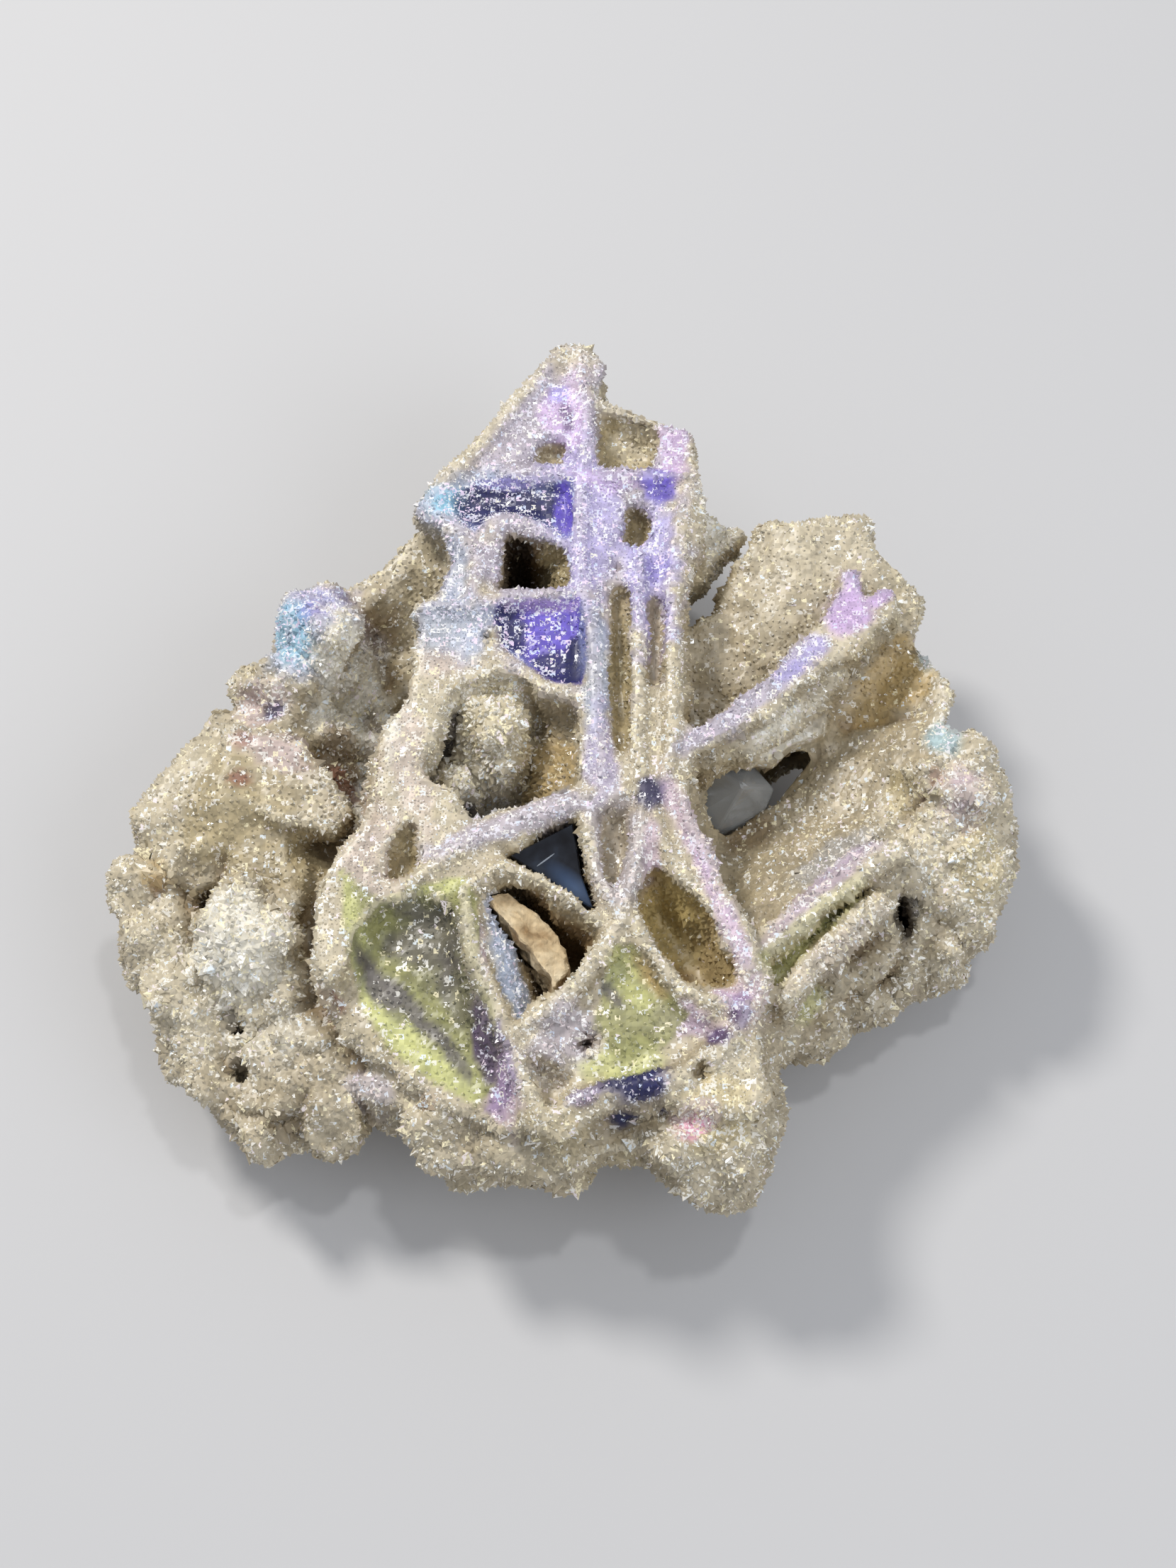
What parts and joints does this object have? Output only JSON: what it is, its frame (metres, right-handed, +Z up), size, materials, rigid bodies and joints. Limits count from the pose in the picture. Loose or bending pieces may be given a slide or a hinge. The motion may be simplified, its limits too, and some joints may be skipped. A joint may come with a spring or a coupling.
{
  "type": "sphalerite slab",
  "caption": "Palm-sized mineral slab: an iridescent quartz-druse boxwork of thin ribs and open pockets, with dark sphalerite, a clear crystal and a matrix flake held in it.",
  "frame": {"origin": "the middle of the slab seen from above, on the plane that it rests on", "axes": "+Z up, out of the ribbed face; +Y towards the tip of the tower; +X towards the fan plates"},
  "size_m": [0.0974, 0.098, 0.0286],
  "materials": {
    "druse": "sparkling druse of fine quartz points with an iridescent blue, violet and gold film",
    "sphalerite": "polished, near black with a blue sheen",
    "clear_quartz": "clear and smooth",
    "matrix": "dull and granular"
  },
  "bodies": {
    "root": {"druzy_boxwork": "druse", "sphalerite_pane": "sphalerite", "clear_crystal": "clear_quartz", "matrix_flake": "matrix"}
  },
  "joints": []
}
